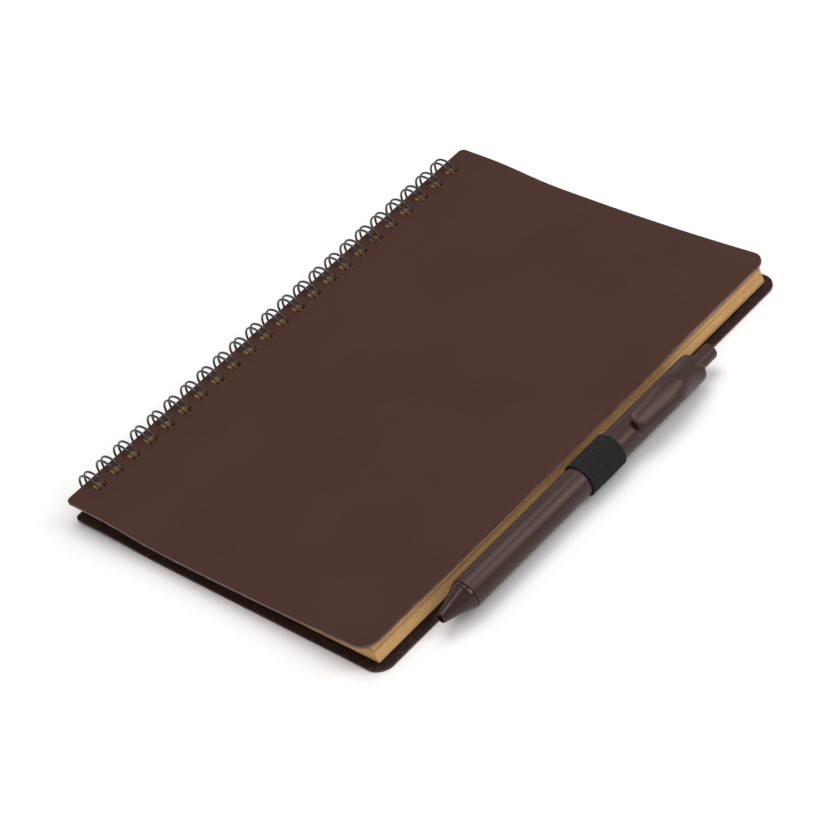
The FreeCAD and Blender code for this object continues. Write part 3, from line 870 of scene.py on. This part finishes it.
def build_elastic():
    """Ribbed ring round the pen, with stitches that step from rib to rib, and its flat tail."""
    low, high = (np.array(corner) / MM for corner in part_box("pen_loop"))
    outer = high[2] - PEN_Z / MM
    inner = PEN_RADIUS / MM + LOOP_GAP
    turns = STITCHES * STITCH_STEPS
    along = np.linspace(0, RIBS, RIBS * RIB_STEPS + 1)
    points, faces = [], []
    for turn in range(turns):
        angle = 2 * math.pi * turn / turns
        stitch = np.cos(2 * math.pi * (turn / STITCH_STEPS + 0.5 * np.floor(along)))
        rib = rib_height(along)
        sunk = GROOVE_DEEP * (1 - rib)
        radius = outer - FIT_GAP - sunk - STITCH_DEEP * rib * (1 - stitch) / 2
        spots = [(inner, BAND_EDGE), *zip(radius, along), (inner, RIBS - BAND_EDGE)]
        for reach, place in spots:
            side = low[1] + place * (high[1] - low[1]) / RIBS
            points.append((reach * math.sin(angle), side, reach * math.cos(angle)))
    count = len(along) + 2
    for turn in range(turns):
        here, there = turn * count, (turn + 1) % turns * count
        for number in range(count):
            after = (number + 1) % count
            faces.append((here + number, here + after, there + after, there + number))
    ring = on_pen(np.array(points) * MM)
    add_piece("pen_loop_ring", ring, faces, [ELASTIC], "notebook", ["pen_loop"])
    build_elastic_tail(low, high)


def build_elastic_tail(low, high):
    """Flat end of the elastic, from under the ring to its seat in the back cover."""
    bottom = low[2] + 0.005
    flat_end = PEN_X / MM - TAIL_FLAT_END
    path = [(x, bottom) for x in np.linspace(low[0] + 0.05, flat_end, 24)]
    start = path[-1][0]
    path += [
        (start + TAIL_RISE_LONG * t, bottom + TAIL_RISE * soft_step(t, 0, 1))
        for t in np.linspace(0, 1, 8)[1:]
    ]
    along = np.linspace(0, RIBS, RIBS * RIB_STEPS + 1)
    side = (low[1] + along * (high[1] - low[1]) / RIBS) * MM
    groove = TAIL_GROOVE * (1 - rib_height(along))
    points, faces = [], []
    count = len(along)
    for x, z in path:
        points += [(x * MM, y, (z + g) * MM) for y, g in zip(side, groove)]
        points += [(x * MM, y, (z + TAIL_THICK - g) * MM) for y, g in zip(side[::-1], groove)]
    ring = count * 2
    for row in range(len(path) - 1):
        for column in range(ring):
            after = (column + 1) % ring
            faces.append((row * ring + column, (row + 1) * ring + column,
                          (row + 1) * ring + after, row * ring + after))
    faces.append(tuple(range(ring)))
    faces.append(tuple((len(path) - 1) * ring + i for i in range(ring))[::-1])
    tail = add_piece("pen_loop_tail", points, faces, [ELASTIC], "notebook", [])
    smooth_by_angle(tail, 50)


# Studio -------------------------------------------------------------------------------------------


def build_floor():
    nodes = Nodes("studio_floor")
    tone = nodes.noise(nodes.place(), 3.0, 2.0)
    colour = nodes.ramp(tone, [(0.3, (0.93, 0.93, 0.93)), (0.7, (0.95, 0.95, 0.95))])
    material = nodes.finish(colour, 0.9, None, Specular_IOR_Level=0.1)
    size = 3.0
    mesh = bpy.data.meshes.new("floor")
    corners = [(-size, -size, 0), (size, -size, 0), (size, size, 0), (-size, size, 0)]
    mesh.from_pydata(corners, [], [(0, 1, 2, 3)])
    mesh.materials.append(material)
    floor = bpy.data.objects.new("floor", mesh)
    bpy.context.scene.collection.objects.link(floor)


def add_light(name, place, aim, size, power):
    light = bpy.data.lights.new(name, "AREA")
    light.shape = "RECTANGLE"
    light.size, light.size_y = size
    light.energy = power
    lamp = bpy.data.objects.new(name, light)
    bpy.context.scene.collection.objects.link(lamp)
    lamp.location = place
    lamp.rotation_euler = (Vector(place) - Vector(aim)).to_track_quat("Z", "Y").to_euler()


def build_lights():
    world = bpy.data.worlds.new("studio")
    bpy.context.scene.world = world
    world.use_nodes = True
    background = world.node_tree.nodes["Background"]
    background.inputs["Color"].default_value = (1, 1, 1, 1)
    background.inputs["Strength"].default_value = 0.64
    add_light("overhead", (-0.12, 0.16, 1.0), (0, 0, 0), (0.7, 0.7), 4.2)
    add_light("fore_side", (0.68, 0.46, 0.68), (0.07, 0, 0), (0.3, 0.8), 3.4)
    bpy.context.scene.view_settings.view_transform = "Standard"


CAMERA_AZIMUTH = math.radians(52.67)
CAMERA_HEIGHT = math.radians(40.45)
CAMERA_ROLL = math.radians(-16.94)
CAMERA_DISTANCE = 1.0602
CAMERA_AIM = Vector((-0.00764, -0.00734, 0.0))
CAMERA_LENS = 135.2


def build_camera():
    """Looks from the fore-edge's near side, turned a little about its own axis."""
    data = bpy.data.cameras.new("camera")
    data.sensor_width = 36.0
    data.lens = CAMERA_LENS
    data.clip_start = 0.01
    camera = bpy.data.objects.new("camera", data)
    bpy.context.scene.collection.objects.link(camera)
    azimuth, height, roll = CAMERA_AZIMUTH, CAMERA_HEIGHT, CAMERA_ROLL
    back = Vector((
        math.sin(azimuth) * math.cos(height), -math.cos(azimuth) * math.cos(height),
        math.sin(height),
    ))
    right = Vector((math.cos(azimuth), math.sin(azimuth), 0))
    up = back.cross(right)
    tilted_right = right * math.cos(roll) + up * math.sin(roll)
    tilted_up = up * math.cos(roll) - right * math.sin(roll)
    turn = Matrix((tilted_right, tilted_up, back)).transposed()
    camera.matrix_world = (
        Matrix.Translation(CAMERA_AIM + back * CAMERA_DISTANCE) @ turn.to_4x4()
    )
    bpy.context.scene.camera = camera


build_covers()
build_pages()
build_wire()
build_nose()
build_barrel()
build_sleeve()
build_clip()
build_button()
build_elastic()
dress("pen_plunger", PEN_GLOSS)
dress("pen_refill_tube", REFILL)
dress("pen_refill_tip", BRASS)
dress("pen_writing_ball", STEEL)
dress("pen_spring", STEEL)
build_floor()
build_lights()
build_camera()
